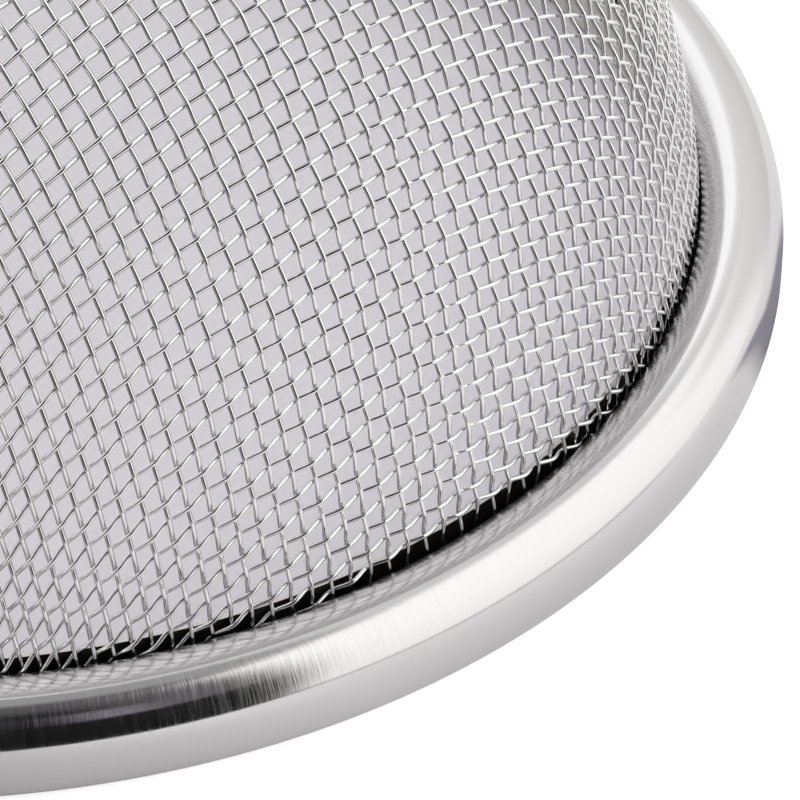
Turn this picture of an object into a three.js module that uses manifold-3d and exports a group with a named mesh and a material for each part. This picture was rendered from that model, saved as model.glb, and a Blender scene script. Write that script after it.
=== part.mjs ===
// Mesh strainer with a wide rolled rim, mouth down, standing on its rim.
// Millimetres, +Z up. The origin is the centre of the rim's base, and Z is the axis of every piece.
import Module from 'manifold-3d';
import * as THREE from 'three';
import { mergeVertices } from 'three/addons/utils/BufferGeometryUtils.js';

const wasm = await Module();
wasm.setup();

// Driving dimensions
const rimDiameter = 200; // over the rim's outer wall
const rimHeight = 10.3; // from the base to the crest of the bead
const beadRadius = 5.8; // outside radius of the rolled bead
const beadRoll = 137; // degrees that the bead turns, from the outer wall over the crest to the mesh
const rimSheet = 0.7; // sheet of the rim shell
const bendRadius = 1.2; // outside radius of the sheets' sharp bends
const clampSheet = 0.5; // sheet of the clamp ring
const lipRise = 0.9; // how far the clamp ring's lip stands above the rim's inner edge
const bandRise = 4; // how far the cloth's closed edge band stands above that lip
const hoopWire = 3; // diameter of the hoop that the cloth is hemmed round
const hemWrap = 210; // degrees of the hoop that the hem covers
const meshWire = 0.48; // diameter of one wire of the cloth
const meshPitch = 2.47; // from wire to wire of the cloth
const wiresPerBar = 9; // wires of the cloth that each bar of the openwork stands for
const weaveTurn = 35.4; // degrees that the weave is turned about the axis
const bowlDepth = 74; // from the mouth to the crown, at the middle of the cloth
const wallFullness = 1.5; // exponent of height in the bowl's outline: higher keeps the wall upright
const crownFullness = 3.6; // exponent of radius in the bowl's outline: higher makes the crown flatter
const clearance = 0.3; // between pieces that touch

// Smoothness of the round shapes
const turnSteps = 64;
const meridianSteps = 40;
const barSteps = 2; // from one crossing of bars to the next
const solveSteps = 8; // rounds of correction for a point of the openwork
const beadSteps = 8;
const bendSteps = 2;
const hemSteps = 6;
const hoopSides = 8;

// The rim's bead and the edge where it meets the cloth
const rimRadius = rimDiameter / 2;
const bead = new THREE.Vector2(rimRadius - beadRadius, rimHeight - beadRadius);
const rollEnd = THREE.MathUtils.degToRad(beadRoll);
const rimEdge = bead.clone().add(polar(beadRadius, rollEnd));

// The cloth: its middle surface at the mouth, then inwards to the clamp ring and outwards to the hoop
const clothThickness = 2 * meshWire;
const mouthRadius = rimEdge.x - clearance - clothThickness / 2;
const mouthHeight = rimEdge.y;
const lipTop = mouthHeight + lipRise;
const bandTop = lipTop + bandRise;
const clampOuter = bowlRadius(lipRise) - clothThickness / 2 - clearance;
const clampInner = clampOuter - clampSheet;
const clampBase = rimSheet + clearance;
const clampReach = rimRadius - bendRadius - clearance;
const wrapMiddle = hoopWire / 2 + clearance + clothThickness / 2;
const wrapOutside = wrapMiddle + clothThickness / 2;
const hoopCentre = new THREE.Vector2(
  mouthRadius + wrapMiddle,
  clampBase + clampSheet + clearance + wrapOutside,
);

// The openwork: each bar is as wide as its wires side by side, so that it is as open as the cloth
const barWidth = wiresPerBar * meshWire;
const gridStep = (wiresPerBar * meshPitch) / barSteps;
const gridReach = Math.ceil((mouthRadius + bowlDepth) / gridStep);
const barLap = meshWire / 2; // how deep the two layers of bars lie in each other

// Finishes
const polishedSteel = new THREE.MeshStandardMaterial({ color: 0xd6d7d9, metalness: 1, roughness: 0.12 });
const brightSteel = new THREE.MeshStandardMaterial({ color: 0xb9bbbe, metalness: 1, roughness: 0.25 });
const drawnSteel = new THREE.MeshStandardMaterial({ color: 0x8f9194, metalness: 1, roughness: 0.4 });
const wireCloth = new THREE.MeshStandardMaterial({ color: 0xc6c7c9, metalness: 1, roughness: 0.3 });

function polar(radius, angle) {
  return new THREE.Vector2(radius * Math.cos(angle), radius * Math.sin(angle));
}

// Points of an arc in the radius and height plane, both ends included
function arc(centre, radius, from, to, steps) {
  return Array.from({ length: steps + 1 }, (_, i) => (
    polar(radius, from + ((to - from) * i) / steps).add(centre)
  ));
}

// Radius of the cloth's middle surface at a height above the mouth
function bowlRadius(height) {
  return mouthRadius * (1 - (height / bowlDepth) ** wallFullness) ** (1 / crownFullness);
}

// A solid of revolution from a profile that runs anticlockwise in the radius and height plane
function lathe(profile) {
  return new THREE.LatheGeometry(profile, turnSteps).rotateX(Math.PI / 2);
}

function piece(name, geometry, material) {
  const mesh = new THREE.Mesh(geometry, material);
  mesh.name = name;
  return mesh;
}

function closed(profile) {
  return [...profile, profile[0].clone()];
}

// The visible rim: a flat base flange, an upright wall and the bead that rolls over on to the cloth
function rimShell() {
  const corner = new THREE.Vector2(rimRadius - bendRadius, bendRadius);
  return closed([
    new THREE.Vector2(clampInner, 0),
    ...arc(corner, bendRadius, -Math.PI / 2, 0, bendSteps),
    ...arc(bead, beadRadius, 0, rollEnd, beadSteps),
    ...arc(bead, beadRadius - rimSheet, rollEnd, 0, beadSteps),
    ...arc(corner, bendRadius - rimSheet, 0, -Math.PI / 2, bendSteps),
    new THREE.Vector2(clampInner, rimSheet),
  ]);
}

// The ring behind the cloth: its flange lies on the rim's base and its wall ends in the lip
function clampRing() {
  const corner = new THREE.Vector2(clampInner + bendRadius, clampBase + bendRadius);
  return closed([
    new THREE.Vector2(clampReach, clampBase),
    new THREE.Vector2(clampReach, clampBase + clampSheet),
    ...arc(corner, bendRadius - clampSheet, -Math.PI / 2, -Math.PI, bendSteps),
    new THREE.Vector2(clampOuter, lipTop),
    new THREE.Vector2(clampInner, lipTop),
    ...arc(corner, bendRadius, -Math.PI, -Math.PI / 2, bendSteps),
  ]);
}

// The wire hoop inside the rim
function hoop() {
  return closed(arc(hoopCentre, hoopWire / 2, 0, 2 * Math.PI, hoopSides).slice(0, -1));
}

// One face of the cloth's edge band, down to the end of the hem, at an offset outwards from its middle
function bandFace(offset) {
  const hemEnd = Math.PI + THREE.MathUtils.degToRad(hemWrap);
  return [
    new THREE.Vector2(bowlRadius(bandTop - mouthHeight) + offset, bandTop),
    new THREE.Vector2(bowlRadius(lipRise) + offset, lipTop),
    ...arc(hoopCentre, wrapMiddle - offset, Math.PI, hemEnd, hemSteps),
  ];
}

// The edge band of the cloth, with its hem turned under the hoop
function edgeBand() {
  return closed([...bandFace(-clothThickness / 2), ...bandFace(clothThickness / 2).reverse()]);
}

// How far a point is off the cloth's middle surface, as a share of its size, and the direction away from it
function offBowl(point) {
  const radius = Math.hypot(point.x, point.y) / mouthRadius;
  const height = Math.max(point.z - mouthHeight, 0) / bowlDepth;
  const sideways = (crownFullness * radius ** (crownFullness - 2)) / mouthRadius ** 2;
  const upwards = (wallFullness * height ** (wallFullness - 1)) / bowlDepth;
  return {
    off: radius ** crownFullness + height ** wallFullness - 1,
    away: new THREE.Vector3(point.x * sideways, point.y * sideways, upwards),
  };
}

// A point of the bowl that is one step from two neighbours, on the far side from the inner one
function meetingPoint(one, other, inner) {
  const point = one.clone().add(other).sub(inner);
  for (let i = 0; i < solveSteps; i += 1) {
    const fromOne = point.clone().sub(one);
    const fromOther = point.clone().sub(other);
    const { off, away } = offBowl(point);
    const misses = new THREE.Vector3(
      (fromOne.lengthSq() - gridStep ** 2) / 2,
      (fromOther.lengthSq() - gridStep ** 2) / 2,
      off,
    );
    const slopes = new THREE.Matrix3(...fromOne, ...fromOther, ...away);
    point.sub(misses.applyMatrix3(slopes.invert()).clampLength(0, gridStep / 2));
  }
  return point;
}

// Points of the cloth in the plane of X and Z, one step apart from the crown to the mouth and on down
function guidePoints() {
  const bowl = Array.from({ length: meridianSteps + 1 }, (_, i) => {
    const angle = (i / meridianSteps) * (Math.PI / 2);
    const radius = mouthRadius * Math.sin(angle) ** (2 / crownFullness);
    const height = bowlDepth * Math.cos(angle) ** (2 / wallFullness);
    return new THREE.Vector3(radius, 0, mouthHeight + height);
  });
  const mouth = bowl.at(-1);
  const meridian = new THREE.CurvePath();
  meridian.add(new THREE.CatmullRomCurve3(bowl));
  meridian.add(new THREE.LineCurve3(mouth, mouth.clone().setZ(mouth.z - gridReach * gridStep)));
  const length = meridian.getLength();
  return Array.from({ length: gridReach + 1 }, (_, i) => meridian.getPoint((i * gridStep) / length));
}

// A quarter of the net that the bars follow. Cloth keeps its pitch along the wires and shears between them,
// so two wires through the crown, in row 0 and in column 0, settle all the rest.
function quarterNet() {
  const rows = guidePoints().map((point) => [point]);
  for (let j = 1; j <= gridReach; j += 1) {
    rows[0][j] = new THREE.Vector3(0, rows[j][0].x, rows[j][0].z);
    for (let i = 1; i <= gridReach; i += 1) {
      rows[i][j] = meetingPoint(rows[i - 1][j], rows[i][j - 1], rows[i - 1][j - 1]);
    }
  }
  return rows;
}

// A flat bar along points of the bowl, between two offsets outwards from the cloth's middle surface
function bar(points, from, to) {
  const corners = points.flatMap((point, i) => {
    const along = points[Math.min(i + 1, points.length - 1)].clone().sub(points[Math.max(i - 1, 0)]);
    const away = offBowl(point).away.normalize();
    const side = along.cross(away).setLength(barWidth / 2);
    return [[-1, from], [1, from], [1, to], [-1, to]].map(([sign, offset]) => (
      point.clone().addScaledVector(side, sign).addScaledVector(away, offset)
    ));
  });
  const faces = [0, 1, 2, 0, 2, 3];
  for (let ring = 0; ring < corners.length - 4; ring += 4) {
    for (let i = 0; i < 4; i += 1) {
      const next = (i + 1) % 4;
      faces.push(ring + i, ring + 4 + i, ring + 4 + next, ring + i, ring + 4 + next, ring + next);
    }
  }
  const end = corners.length - 4;
  faces.push(end, end + 2, end + 1, end, end + 3, end + 2);
  return new THREE.BufferGeometry().setFromPoints(corners).setIndex(faces);
}

// The bars of both layers, each from rim to rim
function bars() {
  const rows = quarterNet();
  const netPoint = (i, j) => rows[Math.abs(i)][Math.abs(j)].clone().multiply(
    new THREE.Vector3(Math.sign(i), Math.sign(j), 1),
  );
  const layers = [
    { place: netPoint, from: -barLap / 2, to: clothThickness / 2 },
    { place: (i, j) => netPoint(j, i), from: -clothThickness / 2, to: barLap / 2 },
  ];
  const firstBar = -barSteps * Math.floor(gridReach / barSteps);
  return layers.flatMap(({ place, from, to }) => {
    const layer = [];
    for (let i = firstBar; i <= gridReach; i += barSteps) {
      const reach = rows[Math.abs(i)].findIndex((point) => point.z < lipTop);
      if (reach > 0) {
        const points = Array.from({ length: 2 * reach + 1 }, (_, k) => place(i, k - reach));
        layer.push(bar(points, from, to).rotateZ(THREE.MathUtils.degToRad(weaveTurn)));
      }
    }
    return layer;
  });
}

// The closed geometry as a solid that can be joined and cut
function solid(geometry) {
  const bare = new THREE.BufferGeometry().setIndex(geometry.getIndex());
  bare.setAttribute('position', geometry.getAttribute('position'));
  const merged = mergeVertices(bare);
  return new wasm.Manifold(new wasm.Mesh({
    numProp: 3,
    vertProperties: merged.getAttribute('position').array,
    triVerts: Uint32Array.from(merged.getIndex().array),
  }));
}

// The bowl of wire cloth: its edge band and, above the clamp ring's lip, an open grid of bars
function meshBowl() {
  const aboveLip = new THREE.CylinderGeometry(rimRadius, rimRadius, 2 * bowlDepth, turnSteps)
    .rotateX(Math.PI / 2)
    .translate(0, 0, lipTop + clearance + bowlDepth);
  const openwork = bars().map(solid).reduce((joined, next) => joined.add(next)).intersect(solid(aboveLip));
  const { vertProperties, triVerts } = openwork.add(solid(lathe(edgeBand()))).getMesh();
  const geometry = new THREE.BufferGeometry().setIndex(new THREE.BufferAttribute(triVerts, 1));
  geometry.setAttribute('position', new THREE.BufferAttribute(vertProperties, 3));
  return geometry;
}

const strainer = new THREE.Group();
strainer.add(
  piece('rim_shell', lathe(rimShell()), polishedSteel),
  piece('clamp_ring', lathe(clampRing()), brightSteel),
  piece('hem_hoop', lathe(hoop()), drawnSteel),
  piece('mesh_bowl', meshBowl(), wireCloth),
);

export default strainer;
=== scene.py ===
# %% [markdown]
# # A mesh strainer
#
# The object is a kitchen strainer: a deep bowl of woven steel wire, held in a wide rim of polished
# sheet. It stands mouth down on its rim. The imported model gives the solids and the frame. This lesson
# dresses them: it turns the rim finely enough to act as a mirror, weaves the bowl wire by wire, and
# builds the light tent whose reflections give polished steel its look.

import math

import bpy
import numpy as np
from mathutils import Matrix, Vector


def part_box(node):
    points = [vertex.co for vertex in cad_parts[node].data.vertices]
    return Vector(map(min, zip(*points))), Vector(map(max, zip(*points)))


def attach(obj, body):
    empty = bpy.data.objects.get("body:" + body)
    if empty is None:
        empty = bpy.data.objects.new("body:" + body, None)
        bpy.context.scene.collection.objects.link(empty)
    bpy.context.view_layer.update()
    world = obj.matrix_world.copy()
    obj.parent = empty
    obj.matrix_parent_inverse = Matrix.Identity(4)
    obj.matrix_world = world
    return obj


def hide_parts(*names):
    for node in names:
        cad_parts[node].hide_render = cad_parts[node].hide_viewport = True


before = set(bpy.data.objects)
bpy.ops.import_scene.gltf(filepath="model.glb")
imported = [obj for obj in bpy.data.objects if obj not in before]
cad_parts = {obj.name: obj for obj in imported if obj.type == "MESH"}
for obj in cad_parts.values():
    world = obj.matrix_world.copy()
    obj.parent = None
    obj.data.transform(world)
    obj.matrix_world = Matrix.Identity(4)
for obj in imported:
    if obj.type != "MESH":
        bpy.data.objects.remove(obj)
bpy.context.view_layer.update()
MM = 0.001  # Blender works in metres, and the sizes below are in millimetres

# %% [markdown]
# ## Camera
#
# The picture is a close view with a long lens, from above the rim and level with the horizon. A long
# lens keeps the rim's curve true. The camera could be turned to look at the middle of the object, but
# here only the lower right part of the object is in the frame, so its place and angles are set directly.

# %% Set the camera
camera_data = bpy.data.cameras.new("camera")
camera = bpy.data.objects.new("camera", camera_data)
bpy.context.scene.collection.objects.link(camera)
bpy.context.scene.camera = camera

camera_data.sensor_width = 36.0
camera_data.lens = 191.35
camera.location = (0, -420.4 * MM, 314.0 * MM)
look_down = math.radians(39.28)
look_right = math.radians(7.305)
camera.rotation_euler = (math.pi / 2 - look_down, 0, -look_right)
print("camera at", [round(c, 4) for c in camera.location], "lens", camera_data.lens, "mm")

# %% [markdown]
# ## Colours and nodes
#
# Colours are written as on a screen, in sRGB hex, and shaders take linear light, so one function turns
# one into the other. A second small function adds any node: its settings by name, and a value or a link
# for each input. With it a material reads as a list of what feeds what.

# %% Two helpers for materials
def linear(hex_colour):
    """An sRGB hex colour as linear red, green, blue and alpha."""
    parts = [int(hex_colour[i : i + 2], 16) / 255 for i in (1, 3, 5)]
    return [p / 12.92 if p <= 0.04045 else ((p + 0.055) / 1.055) ** 2.4 for p in parts] + [1.0]


def add_node(tree, kind, inputs=None, **settings):
    """A new node: settings are its own properties, and each input is a value or a socket to link from."""
    node = tree.nodes.new("ShaderNode" + kind)
    for name, value in settings.items():
        setattr(node, name, value)
    for name, value in (inputs or {}).items():
        if isinstance(value, bpy.types.NodeSocket):
            tree.links.new(value, node.inputs[name])
        else:
            node.inputs[name].default_value = value
    return node


print("mid grey #808080 is", round(linear("#808080")[0], 3), "in linear light")

# %% [markdown]
# ## Light tent
#
# Polished steel has almost no look of its own: it shows what stands round it. Products like this are
# photographed in a tent of white cloth with an opening for the camera, and the rim shows that as a white
# face with a black reflection of the opening. Lamps would light the wires but leave the mirror empty, so
# the tent is the world itself. Each wall is a part of the sky between planes through the object, with a
# soft edge. The camera sees plain white behind the object.

# %% Begin with the camera's opening
world = bpy.data.worlds.new("light_tent")
bpy.context.scene.world = world
world.use_nodes = True
tree = world.node_tree
tree.nodes.clear()

direction = add_node(tree, "TexCoord").outputs["Generated"]
height = add_node(tree, "SeparateXYZ", {"Vector": direction}).outputs["Z"]

# From the horizon up to the hood over the camera: the brightness by the sine of elevation
opening = add_node(tree, "ValToRGB", {"Fac": height})
hood_steps = [(0.0, 0.008), (0.63, 0.01), (0.71, 0.013), (0.94, 0.016), (0.985, 0.07)]
while len(opening.color_ramp.elements) < len(hood_steps):
    opening.color_ramp.elements.new(1.0)
for element, (position, level) in zip(opening.color_ramp.elements, hood_steps):
    element.position = position
    element.color = (level, level, level, 1.0)
print("opening with", len(hood_steps), "steps of brightness")

# %% Plan the walls
# An edge of a wall is a direction, the least cosine to it inside the wall, and how soft the edge is
behind = ((0, 1, 0), 0.06, 0.08)
below_hood = ((0, 0, -1), -0.92, 0.02)
below_strip_top = ((0, 0, -1), -0.87, 0.03)
below_shelf = ((0, 0, -1), -0.64, 0.03)
above_opening = ((0, 0, 1), 0.69, 0.03)
above_panel_foot = ((0, 0, 1), 0.42, 0.05)
above_floor = ((0, 0, 1), 0.02, 0.08)
right_side = [((1, 0.67, -0.185), 0.0, 0.025), ((1, -0.266, -0.253), 0.0, 0.05), above_floor]
right_slope = ((0.9, -0.1, -0.2), 0.0, 0.1)
left_side = [((-1, 1.73, -0.2), 0.0, 0.05), ((-1, -0.266, -0.253), 0.0, 0.05)]


def wall_from(azimuth, softness):
    """The edge of a wall that begins at this azimuth, in degrees from the camera's side to the right."""
    angle = math.radians(azimuth)
    return ((math.cos(angle), math.sin(angle), 0), 0.0, softness)


def wall_to(azimuth, softness):
    """The edge of a wall that ends at this azimuth."""
    return wall_from(azimuth - 180, softness)


strip = [wall_from(12, 0.03), wall_to(21, 0.03), above_opening, below_strip_top]
panel = [wall_from(171, 0.04), wall_to(198, 0.04), below_hood, above_panel_foot]
# Each wall: its colour, its brightness low and high, and its edges. A later wall covers an earlier one.
tent_walls = {
    "left of the camera": ("#ffffff", 0.16, 0.16, [wall_from(-65, 0.1), wall_to(-16, 0.08)]),
    "roof over the right": ("#fff9ff", 0.12, 0.12, [wall_from(21, 0.1), above_opening]),
    "strip by the opening": ("#f4ecff", 0.38, 0.38, strip),
    "back roof": ("#ffffff", 0.38, 0.38, [behind]),
    "back below the hood": ("#ffffff", 0.80, 0.80, [behind, below_hood]),
    "back below the shelf": ("#ffffff", 0.80, 1.30, [behind, below_shelf]),
    "panel in the back": ("#ffffff", 1.32, 1.32, panel),
    "right side": ("#fffefb", 1.18, 1.40, right_side),
    "right of the back": ("#fffefb", 0.74, 1.08, [wall_from(124, 0.14), right_slope, below_shelf]),
    "left side": ("#ffffff", 1.25, 1.50, left_side),
}
print("walls:", ", ".join(tent_walls))

# %% Hang the walls
light = opening.outputs["Color"]
for name, (colour, low, high, edges) in tent_walls.items():
    cover = 1.0
    for towards, least, softness in edges:
        unit = [c / math.hypot(*towards) for c in towards]
        cosine = add_node(tree, "VectorMath", {0: direction, 1: unit}, operation="DOT_PRODUCT")
        inside = add_node(
            tree,
            "MapRange",
            {"Value": cosine.outputs["Value"], "From Min": least - softness, "From Max": least + softness},
            interpolation_type="SMOOTHSTEP",
        )
        covered = add_node(tree, "Math", {0: inside.outputs["Result"], 1: cover}, operation="MULTIPLY")
        cover = covered.outputs[0]
    level = add_node(tree, "MapRange", {"Value": height, "To Min": low, "To Max": high}).outputs["Result"]
    cloth = add_node(tree, "VectorMath", {0: linear(colour)[:3], "Scale": level}, operation="SCALE")
    hung = add_node(
        tree, "Mix", {"Factor": cover, "A": light, "B": cloth.outputs[0]}, data_type="RGBA", label=name
    )
    light = hung.outputs["Result"]

tent = add_node(tree, "Background", {"Color": light})
plain_white = add_node(tree, "Background", {"Color": linear("#ffffff")})
seen_by_camera = add_node(tree, "LightPath").outputs["Is Camera Ray"]
sky = add_node(tree, "MixShader", {0: seen_by_camera, 1: tent.outputs[0], 2: plain_white.outputs[0]})
add_node(tree, "OutputWorld", {"Surface": sky.outputs[0]})
print("tent of", len(tent_walls), "walls in", len(tree.nodes), "nodes")

# %% [markdown]
# ## Floor
#
# The strainer stands on a white table. Outside the rim the picture shows it as plain white, and through
# the mesh it is grey, because the cloth shades it. So the floor is matt white, and for the camera a
# little light of its own lifts it. The lift begins under the rim, where the change can't be seen.
#
# The steel mirrors the table too, and there the picture tells more about it: it is dim at the left and
# bright at the right, grey under the bowl, and has one shaded patch beside the rim on the right. A
# painted image could hold that. Here soft edges at set distances do, and only mirrors see them.

# %% Lay the floor
floor_size = 6.0
floor_mesh = bpy.data.meshes.new("floor")
corner = floor_size / 2
corners = [(-corner, -corner, 0), (corner, -corner, 0), (corner, corner, 0), (-corner, corner, 0)]
floor_mesh.from_pydata(corners, [], [(0, 1, 2, 3)])
floor = bpy.data.objects.new("floor", floor_mesh)
floor.location.z = -0.05 * MM  # just clear of the rim's base
bpy.context.scene.collection.objects.link(floor)
print("floor", floor_size, "m square")

# %% Find where the table is open and lit
rim_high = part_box("rim_shell")[1]
rim_radius = rim_high.x / MM

matt_white = bpy.data.materials.new("matt_white_table")
matt_white.use_nodes = True
tree = matt_white.node_tree
tree.nodes.clear()
place = add_node(tree, "TexCoord").outputs["Object"]
sides = add_node(tree, "SeparateXYZ", {"Vector": place})
from_axis = add_node(tree, "VectorMath", {0: place}, operation="LENGTH")

# Each change: the distance that it follows, and the millimetres at which it starts and is complete
table_changes = {
    "outside": (from_axis.outputs["Value"], rim_radius - 8, rim_radius - 2),
    "lit": (sides.outputs["X"], -0.9 * rim_radius, 0.42 * rim_radius),
    "right edge": (sides.outputs["X"], 0.52 * rim_radius, 0.74 * rim_radius),
}
table = {}
for name, (distance, start, complete) in table_changes.items():
    change = add_node(
        tree, "MapRange", {"Value": distance, "From Min": start * MM, "From Max": complete * MM}, label=name
    )
    table[name] = change.outputs["Result"]
opened = add_node(tree, "Math", {0: table["right edge"], 1: table["outside"]}, operation="MAXIMUM")
open_table = opened.outputs[0]
print("table changes:", {name: [round(v, 1) for v in change[1:]] for name, change in table_changes.items()})

# %% Shade the patch beside the rim
# The patch is a band that is cut off by its front or by its corner. Each edge: the distance that it
# follows, and the millimetres at which the shade is nothing and full.
across_band = add_node(tree, "VectorMath", {0: place, 1: (-0.2, 0.98, 0)}, operation="DOT_PRODUCT")
shade_edges = {
    "band": [
        (across_band.outputs["Value"], -60, -54),
        (sides.outputs["X"], 85, 90),
        (sides.outputs["X"], 170, 130),
    ],
    "front": [(across_band.outputs["Value"], -45, -49)],
    "corner": [(sides.outputs["X"], 116, 109), (sides.outputs["Y"], -7, -15)],
}
covers = {}
for name, edges in shade_edges.items():
    cover = 1.0
    for distance, nothing_at, full_at in edges:
        inside = add_node(
            tree, "MapRange", {"Value": distance, "From Min": nothing_at * MM, "From Max": full_at * MM}
        )
        covered = add_node(tree, "Math", {0: inside.outputs["Result"], 1: cover}, operation="MULTIPLY")
        cover = covered.outputs[0]
    covers[name] = cover
either = add_node(tree, "Math", {0: covers["front"], 1: covers["corner"]}, operation="MAXIMUM")
shaded = add_node(tree, "Math", {0: covers["band"], 1: either.outputs[0]}, operation="MULTIPLY")
shade = shaded.outputs[0]
print("shaded patch with", sum(len(edges) for edges in shade_edges.values()), "edges")

# %% Make the matt white table
lift_inside = 0.125  # light of its own that the camera sees under the bowl
lift_outside = 0.72  # and outside the rim
lift_in_mirrors = 0.23  # and that mirrors see where the table is open and lit

rays = add_node(tree, "LightPath")
in_mirror = rays.outputs["Is Glossy Ray"]
seen = add_node(tree, "MapRange", {"Value": table["outside"], "To Min": lift_inside, "To Max": lift_outside})
seen = add_node(
    tree, "Math", {0: seen.outputs["Result"], 1: rays.outputs["Is Camera Ray"]}, operation="MULTIPLY"
)
mirrored = add_node(tree, "MapRange", {"Value": shade, "To Min": open_table, "To Max": 0.0})
mirrored = add_node(tree, "Math", {0: table["lit"], 1: mirrored.outputs["Result"]}, operation="MULTIPLY")
mirrored = add_node(tree, "Math", {0: mirrored.outputs[0], 1: in_mirror}, operation="MULTIPLY")
lift = add_node(
    tree, "Math", {0: mirrored.outputs[0], 1: lift_in_mirrors, 2: seen.outputs[0]}, operation="MULTIPLY_ADD"
)

# The table's tone in mirrors is painted light and shade: dimmer towards the left, painted shade under the
# bowl, and a painted shadow in the patch beside the rim
tone = {"Factor": table["lit"], "A": linear("#908d90"), "B": linear("#f2f1f2")}
open_tone = add_node(tree, "Mix", tone, data_type="RGBA").outputs["Result"]
tone = {"Factor": open_table, "A": linear("#a8a5a8"), "B": open_tone}
bowl_shaded_tone = add_node(tree, "Mix", tone, data_type="RGBA").outputs["Result"]
tone = {"Factor": shade, "A": bowl_shaded_tone, "B": linear("#b6b4c0")}
mirrored_tone = add_node(tree, "Mix", tone, data_type="RGBA").outputs["Result"]
tone = {"Factor": in_mirror, "A": linear("#f0eef6"), "B": mirrored_tone}
white = add_node(tree, "Mix", tone, data_type="RGBA").outputs["Result"]

matt = add_node(tree, "BsdfDiffuse", {"Color": white})
glow = add_node(tree, "Emission", {"Color": linear("#fffdfd"), "Strength": lift.outputs[0]})
lifted = add_node(tree, "AddShader", {0: matt.outputs[0], 1: glow.outputs[0]})
add_node(tree, "OutputMaterial", {"Surface": lifted.outputs[0]})
floor_mesh.materials.append(matt_white)
print("table in", matt_white.name, "with", len(tree.nodes), "nodes")

# %% [markdown]
# ## Polished stainless steel
#
# The rim is stainless sheet, rolled to shape and polished on a wheel that runs across the ring. It is a
# mirror with very fine marks along each line from the outer wall to the mesh. Such marks spread a
# reflection along the ring and leave it sharp across, which the shader calls anisotropy. Real marks are
# a few hundredths of a millimetre apart, too fine to show here, so they are drawn 0.18 mm apart and a
# few millimetres long. Their pattern reads mostly the angle round the ring, so each mark runs straight
# across. The wheel doesn't reach the last millimetres by the mesh: there the marks fade, and the
# surface is less of a mirror.

# %% Lay the polishing marks
mark_spacing = 0.18
mark_length = 3.5
mark_depth = 0.006
fade_start, fade_end = 6, 9  # in from the outer wall, towards the mesh
marks_left = 0.15  # share of the marks' depth by the mesh
duller_by_mesh = 0.14  # roughness added by the mesh

polished_steel = bpy.data.materials.new("polished_stainless_steel")
polished_steel.use_nodes = True
tree = polished_steel.node_tree
tree.nodes.clear()
place = add_node(tree, "TexCoord").outputs["Object"]
level_place = add_node(tree, "VectorMath", {0: place, 1: (1, 1, 0)}, operation="MULTIPLY")
outwards = add_node(tree, "VectorMath", {0: level_place.outputs[0]}, operation="NORMALIZE")
round_ring = add_node(
    tree, "VectorMath", {0: outwards.outputs[0], "Scale": rim_radius / mark_spacing}, operation="SCALE"
)
across_ring = add_node(tree, "VectorMath", {0: place, "Scale": 1 / (mark_length * MM)}, operation="SCALE")
grain = add_node(tree, "VectorMath", {0: round_ring.outputs[0], 1: across_ring.outputs[0]}, operation="ADD")
marks = add_node(tree, "TexNoise", {"Vector": grain.outputs[0], "Scale": 1.0, "Detail": 3.0})
print("marks", mark_spacing, "mm apart on a rim of radius", round(rim_radius, 2), "mm")

# %% Make the polished steel
from_axis = add_node(tree, "VectorMath", {0: level_place.outputs[0]}, operation="LENGTH")
by_mesh = {
    "Value": from_axis.outputs["Value"],
    "From Min": (rim_radius - fade_start) * MM,
    "From Max": (rim_radius - fade_end) * MM,
}
fading = add_node(tree, "MapRange", {**by_mesh, "To Min": 1.0, "To Max": marks_left})
relief = add_node(
    tree,
    "Bump",
    {"Height": marks.outputs["Fac"], "Strength": fading.outputs["Result"], "Distance": mark_depth * MM},
)
gloss = add_node(
    tree,
    "MapRange",
    {"Value": marks.outputs["Fac"], "From Min": 0.3, "From Max": 0.75, "To Min": 0.08, "To Max": 0.21},
)
duller = add_node(tree, "MapRange", {**by_mesh, "To Max": duller_by_mesh})
gloss = add_node(tree, "Math", {0: gloss.outputs["Result"], 1: duller.outputs["Result"]}, operation="ADD")
along_ring = add_node(tree, "Tangent", direction_type="RADIAL", axis="Z")
steel = add_node(
    tree,
    "BsdfPrincipled",
    {
        "Base Color": linear("#dbdadb"),
        "Metallic": 1.0,
        "Roughness": gloss.outputs[0],
        "Anisotropic": 0.6,
        "Tangent": along_ring.outputs[0],
        "Normal": relief.outputs[0],
    },
)
add_node(tree, "OutputMaterial", {"Surface": steel.outputs[0]})
print(polished_steel.name, "with", len(tree.nodes), "nodes")

# %% [markdown]
# ## Rim
#
# The rim is one sheet: a flat base, an upright outer wall and a bead that rolls over and comes down on
# the mesh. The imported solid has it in 64 flat steps round, which is enough to touch things but not for a
# mirror. A lathe or a screw modifier would turn a profile; here a few lines of array code do, because
# they also lay the map that carries the finish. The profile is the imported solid's own, in many more steps.

# %% Two helpers for turned rings
ring_steps = 360


def add_piece(name, points, faces, finish_places, material):
    """A piece from its points in millimetres, its faces, and each face corner's place on the finish map."""
    mesh = bpy.data.meshes.new(name)
    mesh.from_pydata(points * MM, [], faces)
    finish_map = mesh.uv_layers.new(name="OFBake")
    finish_map.uv.foreach_set("vector", finish_places.ravel())
    mesh.shade_smooth()
    mesh.materials.append(material)
    piece = bpy.data.objects.new(name, mesh)
    bpy.context.scene.collection.objects.link(piece)
    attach(piece, "root")
    return piece


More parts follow.
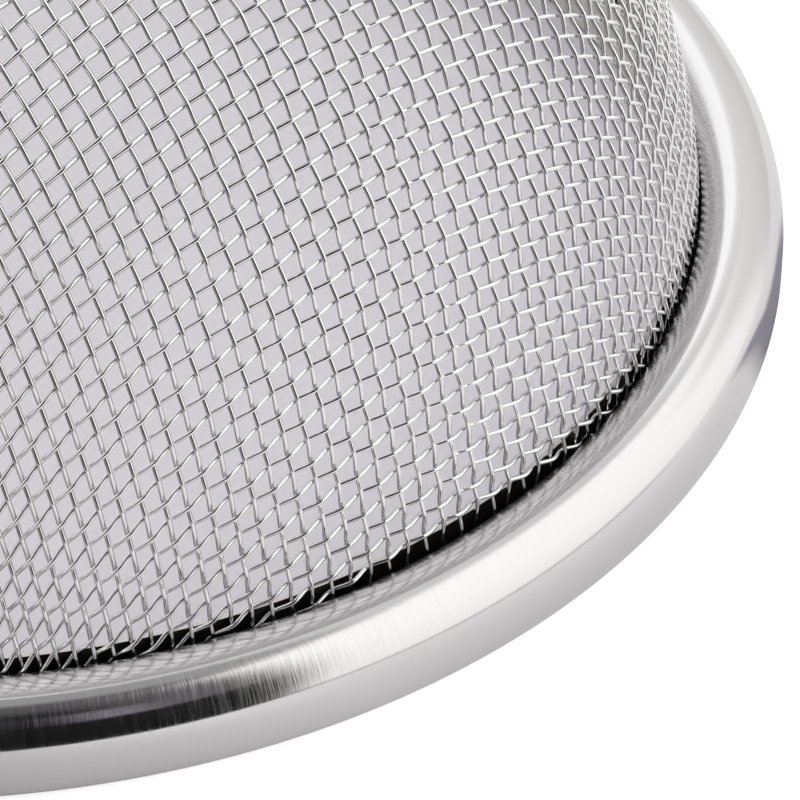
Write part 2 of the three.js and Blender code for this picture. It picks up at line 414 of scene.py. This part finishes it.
def turned(name, profile, material):
    """A ring with this closed profile, which runs anticlockwise in the radius and height plane."""
    count = len(profile)
    angle = np.arange(ring_steps) * 2 * math.pi / ring_steps
    points = np.empty((ring_steps, count, 3))
    points[..., 0] = np.cos(angle)[:, None] * profile[:, 0]
    points[..., 1] = np.sin(angle)[:, None] * profile[:, 0]
    points[..., 2] = profile[:, 1]
    ring, side = np.meshgrid(np.arange(ring_steps), np.arange(count), indexing="ij")
    next_ring = (ring + 1) % ring_steps
    next_side = (side + 1) % count
    corners = [(ring, side), (next_ring, side), (next_ring, next_side), (ring, next_side)]
    faces = np.stack([r * count + s for r, s in corners], -1)
    travel = np.append(0, np.cumsum(np.linalg.norm(np.diff(profile, axis=0, append=profile[:1]), axis=1)))
    travel = travel / travel[-1]
    across = np.stack([travel[side], travel[side], travel[side + 1], travel[side + 1]], -1)
    along = np.stack([ring, ring + 1, ring + 1, ring], -1) / ring_steps
    finish_places = np.stack([along, across], -1)
    piece = add_piece(name, points.reshape(-1, 3), faces.reshape(-1, 4).tolist(), finish_places, material)
    piece.data.set_sharp_from_angle(angle=math.radians(30))
    return piece


print("rings turned in", ring_steps, "steps")

# %% Turn the rim
bead_radius = 5.8
bead_roll = math.radians(137)
rim_sheet = 0.7
bend_radius = 1.2
clamp_inner = 87.87  # radius of the clamp ring's inner face, where the rim's base ends too
bead_middle = np.array([rim_radius - bead_radius, rim_high.z / MM - bead_radius])
bend_middle = (rim_radius - bend_radius, bend_radius)


def arc(middle, radius, start, end, steps):
    """Points on an arc in the radius and height plane."""
    angle = np.linspace(start, end, steps + 1)
    return np.asarray(middle) + radius * np.stack([np.cos(angle), np.sin(angle)], -1)


rim_profile = np.concatenate(
    [
        [(clamp_inner, 0)],
        arc(bend_middle, bend_radius, -math.pi / 2, 0, 8),
        arc(bead_middle, bead_radius, 0, bead_roll, 56),
        arc(bead_middle, bead_radius - rim_sheet, bead_roll, 0, 28),
        arc(bend_middle, bend_radius - rim_sheet, 0, -math.pi / 2, 6),
        [(clamp_inner, rim_sheet)],
    ]
)
rim = turned("polished_rim", rim_profile, polished_steel)
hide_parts("rim_shell")
print("rim profile of", len(rim_profile), "points,", len(rim.data.polygons), "faces")

# %% [markdown]
# ## Clamp ring
#
# Behind the cloth a second ring of thinner sheet presses it against the rim. Its wall shows through the
# mesh as a dark band, and its cut edge catches the light as a thin line. It is bright sheet as it comes
# from the rolls, with a faint cloudiness some millimetres wide. Only its outer face, against the cloth,
# is dull and painted dark: painted shade for the dark gap between it and the rim. That could be a second
# material, but one that changes just inside the outer face keeps the ring a single piece.

# %% Make the rolled sheet
clamp_sheet = 0.5
clamp_outer = clamp_inner + clamp_sheet
cloud_size = 3.0
duller_outside = 0.35  # roughness added on the outer face

rolled_steel = bpy.data.materials.new("bright_rolled_steel_sheet")
rolled_steel.use_nodes = True
tree = rolled_steel.node_tree
tree.nodes.clear()
place = add_node(tree, "TexCoord").outputs["Object"]
clouds = add_node(tree, "TexNoise", {"Vector": place, "Scale": 1 / (cloud_size * MM), "Detail": 4.0})
cloudy = add_node(tree, "ValToRGB", {"Fac": clouds.outputs["Fac"]})
cloudy.color_ramp.elements[0].color = linear("#c6c2be")
cloudy.color_ramp.elements[1].color = linear("#d8d5d2")
level_place = add_node(tree, "VectorMath", {0: place, 1: (1, 1, 0)}, operation="MULTIPLY")
from_axis = add_node(tree, "VectorMath", {0: level_place.outputs[0]}, operation="LENGTH")
shaded_outer_face = add_node(
    tree,
    "MapRange",
    {
        "Value": from_axis.outputs["Value"],
        "From Min": (clamp_outer - 0.06) * MM,
        "From Max": (clamp_outer - 0.02) * MM,
    },
).outputs["Result"]
# Painted shade: the outer face takes a dark tone for the shade in the gap against the rim
tone = add_node(
    tree,
    "Mix",
    {"Factor": shaded_outer_face, "A": cloudy.outputs["Color"], "B": linear("#544f49")},
    data_type="RGBA",
)
gloss = add_node(tree, "MapRange", {"Value": clouds.outputs["Fac"], "To Min": 0.13, "To Max": 0.24})
gloss = add_node(
    tree, "Math", {0: shaded_outer_face, 1: duller_outside, 2: gloss.outputs["Result"]}, operation="MULTIPLY_ADD"
)
steel = add_node(
    tree,
    "BsdfPrincipled",
    {"Base Color": tone.outputs["Result"], "Metallic": 1.0, "Roughness": gloss.outputs[0]},
)
add_node(tree, "OutputMaterial", {"Surface": steel.outputs[0]})
print(rolled_steel.name, "with clouds of", cloud_size, "mm")

# %% Turn the clamp ring
clamp_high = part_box("clamp_ring")[1]
clamp_base = rim_sheet
lip_top = clamp_high.z / MM
clamp_reach = clamp_high.x / MM
inner_bend = (clamp_outer, clamp_base + clamp_sheet)
clamp_profile = np.concatenate(
    [
        [(clamp_reach, clamp_base), (clamp_reach, clamp_base + clamp_sheet), inner_bend],
        [(clamp_outer, lip_top), (clamp_inner, lip_top)],
        arc(inner_bend, clamp_sheet, -math.pi, -math.pi / 2, 6),
    ]
)
clamp = turned("pressed_clamp_ring", clamp_profile, rolled_steel)
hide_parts("clamp_ring")
print("clamp ring wall", round(clamp_outer, 2), "mm from the axis, lip at", round(lip_top, 2), "mm")

# %% [markdown]
# ## Drawn wire
#
# Wire is pulled through dies, which leaves it bright with faint lines along it, and weaving and pressing
# rub it unevenly. At this size that shows as small changes in tone and gloss, here in patches of two
# millimetres. The hoop inside the rim is the same steel in heavier wire, duller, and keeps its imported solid.

# %% Make the wire and dress the hoop
def drawn_wire(name, dark, light, least_rough, most_rough, patch):
    """Steel wire whose tone and gloss change a little in patches of this size in millimetres."""
    material = bpy.data.materials.new(name)
    material.use_nodes = True
    tree = material.node_tree
    tree.nodes.clear()
    place = add_node(tree, "TexCoord").outputs["Object"]
    rubs = add_node(tree, "TexNoise", {"Vector": place, "Scale": 1 / (patch * MM), "Detail": 2.0})
    tone = add_node(tree, "ValToRGB", {"Fac": rubs.outputs["Fac"]})
    tone.color_ramp.elements[0].color = linear(dark)
    tone.color_ramp.elements[1].color = linear(light)
    gloss = add_node(
        tree, "MapRange", {"Value": rubs.outputs["Fac"], "To Min": least_rough, "To Max": most_rough}
    )
    steel = add_node(
        tree,
        "BsdfPrincipled",
        {"Base Color": tone.outputs["Color"], "Metallic": 1.0, "Roughness": gloss.outputs["Result"]},
    )
    add_node(tree, "OutputMaterial", {"Surface": steel.outputs[0]})
    return material


cloth_wire = drawn_wire(
    "bright_drawn_steel_wire", "#e6e6e7", "#f3f2f3", least_rough=0.07, most_rough=0.13, patch=2.0
)
hoop_wire = drawn_wire(
    "dull_drawn_steel_wire", "#8b8d90", "#a5a7aa", least_rough=0.35, most_rough=0.5, patch=3.0
)
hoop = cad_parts["hem_hoop"]
hoop.data.materials.clear()
hoop.data.materials.append(hoop_wire)
print("cloth in", cloth_wire.name, "and hoop in", hoop_wire.name)

# %% [markdown]
# ## Net of the cloth
#
# Plain cloth doesn't stretch along its wires. When a flat piece is pressed into a bowl, the wires keep
# their spacing and turn against each other at the crossings, so square openings become diamonds down the
# wall. A grid laid on the bowl would show squares or pie slices. So each crossing is found from its two
# inner neighbours: the point of the bowl that is one pitch from both. Two guide lines through the crown
# start it off.

# %% Shape the bowl
wire = 0.52
clearance = 0.3  # between the rim's edge and the cloth
wall_fullness = 1.5
crown_fullness = 3.6
mouth_height = float(bead_middle[1] + bead_radius * math.sin(bead_roll))
mouth_radius = float(bead_middle[0] + bead_radius * math.cos(bead_roll)) - clearance - wire
bowl_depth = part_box("mesh_bowl")[1].z / MM - wire - mouth_height


def off_bowl(points):
    """How far points are off the bowl's surface, as a share of its size, and the direction away from it."""
    radius = np.linalg.norm(points[..., :2], axis=-1, keepdims=True) / mouth_radius
    height = np.maximum(points[..., 2:] - mouth_height, 0) / bowl_depth
    off = radius**crown_fullness + height**wall_fullness - 1
    sideways = crown_fullness * radius ** (crown_fullness - 2) * points[..., :2] / mouth_radius**2
    upwards = wall_fullness * height ** (wall_fullness - 1) / bowl_depth
    return off[..., 0], np.concatenate([sideways, upwards], -1)


def down_the_bowl(distance):
    """Radius and height at these distances from the crown, measured along the bowl and on down its wall."""
    angle = np.linspace(0, 1, 4001) ** 1.5 * math.pi / 2  # closer together at the crown
    radius = np.append(mouth_radius * np.sin(angle) ** (2 / crown_fullness), mouth_radius)
    height = np.append(mouth_height + bowl_depth * np.cos(angle) ** (2 / wall_fullness), -bowl_depth)
    travel = np.append(0, np.cumsum(np.hypot(np.diff(radius), np.diff(height))))
    return np.interp(distance, travel, radius), np.interp(distance, travel, height)


print("bowl", round(bowl_depth, 2), "mm deep and", round(mouth_radius, 2), "mm in radius")

# %% Find the crossings
pitch = np.array([2.517, 2.424])  # from wire to wire, in the two directions of the weave
first_wire = np.array([0.79, 0.4])  # from the crown to the first wire, in pitches
weave_turn = math.radians(35.4)  # of the weave about the bowl's axis
wires_out = 60  # wires from the crown outwards, a few more than reach the rim
settling_steps = 5
longest_move = 0.7 * pitch[0]  # in one step, so that a point can't jump past its place
tiny = 1e-9  # keeps the steps from dividing by zero


def quarter_net(first_steps):
    """The crossings of a quarter of the cloth. Row 0 and column 0 are the guides, and are left out."""
    steps = [np.append(first, np.ones(wires_out - 1)) * p for first, p in zip(first_steps, pitch)]
    net = np.zeros((wires_out + 1, wires_out + 1, 3))
    net[:, 0, 0], net[:, 0, 2] = down_the_bowl(np.append(0, np.cumsum(steps[0])))
    net[0, :, 1], net[0, :, 2] = down_the_bowl(np.append(0, np.cumsum(steps[1])))
    for total in range(2, 2 * wires_out + 1):
        i = np.arange(max(1, total - wires_out), min(wires_out, total - 1) + 1)
        j = total - i
        one, other = net[i - 1, j], net[i, j - 1]
        point = one + other - net[i - 1, j - 1]
        for _ in range(settling_steps):
            off, away = off_bowl(point)
            slopes = np.stack([2 * (point - one), 2 * (point - other), away], -2) + tiny * np.eye(3)
            reach_one = ((point - one) ** 2).sum(-1) - steps[0][i - 1] ** 2
            reach_other = ((point - other) ** 2).sum(-1) - steps[1][j - 1] ** 2
            move = np.linalg.solve(slopes, np.stack([reach_one, reach_other, off], -1)[..., None])[..., 0]
            length = np.linalg.norm(move, axis=-1, keepdims=True)
            point = point - move * np.minimum(1, longest_move / np.maximum(length, tiny))
        net[i, j] = point
    return net[1:, 1:]


halves = []
for side in (-1, 1):
    quarters = []
    for end in (-1, 1):
        first = [f if s > 0 else 1 - f for f, s in zip(first_wire, (side, end))]
        quarter = quarter_net(first) * (side, end, 1)
        quarters.append(quarter[::side, ::end])
    halves.append(np.concatenate(quarters, 1))
net = np.concatenate(halves, 0)
cosine = math.cos(weave_turn)
sine = math.sin(weave_turn)
turn = np.array([[cosine, -sine], [sine, cosine]])
net[..., :2] = net[..., :2] @ turn.T
print("crossings above the rim:", int((net[..., 2] > mouth_height).sum()))

# %% [markdown]
# ## Woven wires
#
# Each wire passes over one wire of the other direction and under the next. Its middle line runs from
# crossing to crossing and waves out of the surface as a cosine. The warp is pulled tighter than the weft
# and waves less, and the two waves together are one wire high, so crossing wires just touch. Curve
# objects with a round bevel would do, but the cloth has over 40 metres of wire, so the tubes are made in
# array code with six sides, which is plenty at this size. The wires of each direction come in three pieces.

# %% Follow one wire
rings_per_pitch = 5
wire_end = 4.4  # height at which the wires reach the hoop, hidden in the rim


def wire_path(crossings, wave_height, first_under):
    """The middle line of one wire and the directions out of the bowl along it, cut off inside the rim."""
    centre = len(crossings) // 2
    if crossings[centre, 2] < mouth_height + 1:
        return None
    above = crossings[:, 2] > wire_end
    first = centre - int(np.argmin(above[centre::-1]))
    last = centre + int(np.argmin(above[centre:]))
    fine = np.arange(first * rings_per_pitch, last * rings_per_pitch + 1) / rings_per_pitch
    start = np.minimum(fine.astype(int), last - 1)
    part = (fine - start)[:, None]
    # A smooth curve through the crossings b and c, with its slopes from the crossings beside them
    a, b, c, d = (crossings[np.clip(start + k, first, last)] for k in (-1, 0, 1, 2))
    line = 0.5 * (
        2 * b + (c - a) * part + (2 * a - 5 * b + 4 * c - d) * part**2 + (3 * b - a - 3 * c + d) * part**3
    )
    away = off_bowl(line)[1]
    away = away / np.linalg.norm(away, axis=1, keepdims=True)
    wave = wave_height * np.cos(math.pi * (fine + first_under))
    kept = line[:, 2] > wire_end
    return (line + wave[:, None] * away)[kept], away[kept]


print("rings along a wire", round(float(pitch[0]) / rings_per_pitch, 2), "mm apart")

# %% Make tubes of the wires
wire_sides = 6


def wires_piece(name, paths):
    """One piece of cloth wires: a tube along each path, with closed ends."""
    points, faces, ends, places = [], [], [], []
    first = 0
    around = (np.arange(wire_sides) + 0.5) * 2 * math.pi / wire_sides
    longest = max(len(line) for line, _ in paths)
    disc = np.stack([np.cos(around), np.sin(around)], -1) / 2
    for number, (line, away) in enumerate(paths):
        along = np.gradient(line, axis=0)
        across = np.cross(along, away)
        across = across / np.linalg.norm(across, axis=1, keepdims=True)
        out = np.cross(across, along)
        out = out / np.linalg.norm(out, axis=1, keepdims=True)
        round_it = np.cos(around)[:, None] * out[:, None] + np.sin(around)[:, None] * across[:, None]
        points.append((line[:, None] + wire / 2 * round_it).reshape(-1, 3))
        ring, side = np.meshgrid(np.arange(len(line) - 1), np.arange(wire_sides), indexing="ij")
        next_side = (side + 1) % wire_sides
        corners = [(ring, side), (ring + 1, side), (ring + 1, next_side), (ring, next_side)]
        faces.append(np.stack([first + r * wire_sides + s for r, s in corners], -1).reshape(-1, 4))
        strip = [(ring, side), (ring + 1, side), (ring + 1, side + 1), (ring, side + 1)]
        on_map = [np.stack([(number + s / wire_sides) / len(paths), r / longest], -1) for r, s in strip]
        places.append(np.stack(on_map, -2).reshape(-1, 2))
        first_end = np.arange(first, first + wire_sides)
        first += len(line) * wire_sides
        ends += [first_end.tolist(), np.arange(first - 1, first - 1 - wire_sides, -1).tolist()]
    for number in range(len(paths)):
        places += [(disc + (number + 0.5, 0.5)) / (len(paths), longest)] * 2
    all_faces = np.concatenate(faces).tolist() + ends
    piece = add_piece(name, np.concatenate(points), all_faces, np.concatenate(places), cloth_wire)
    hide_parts("mesh_bowl")
    return piece


print("tubes of", wire_sides, "sides,", wire, "mm thick")

# %% Weave the cloth
warp_wave = 0.19
weft_wave = wire - warp_wave
piece_names = ("near", "middle", "far")
weave = (("warp", net, warp_wave, 0), ("weft", net.transpose(1, 0, 2), weft_wave, 1))

wire_length = 0.0
for name, rows, wave_height, first_under in weave:
    paths = [wire_path(row, wave_height, number + first_under) for number, row in enumerate(rows)]
    paths = [path for path in paths if path is not None]
    wire_length += sum(float(np.linalg.norm(np.diff(line, axis=0), axis=1).sum()) for line, _ in paths)
    rings = np.array([len(line) for line, _ in paths])
    share = (len(piece_names) * (np.cumsum(rings) - rings / 2) / rings.sum()).astype(int)
    for number, part in enumerate(piece_names):
        group = [path for path, k in zip(paths, share) if k == number]
        piece = wires_piece(f"{name}_wires_{part}", group)
        print(piece.name, len(group), "wires,", len(piece.data.polygons), "faces")
print("wire in all:", round(wire_length / 1000, 1), "m")

# %% [markdown]
# ## Finish
#
# Colours should come out as they are written, so the view transform is the plain one.

# %% Use the plain view transform
bpy.context.scene.view_settings.view_transform = "Standard"
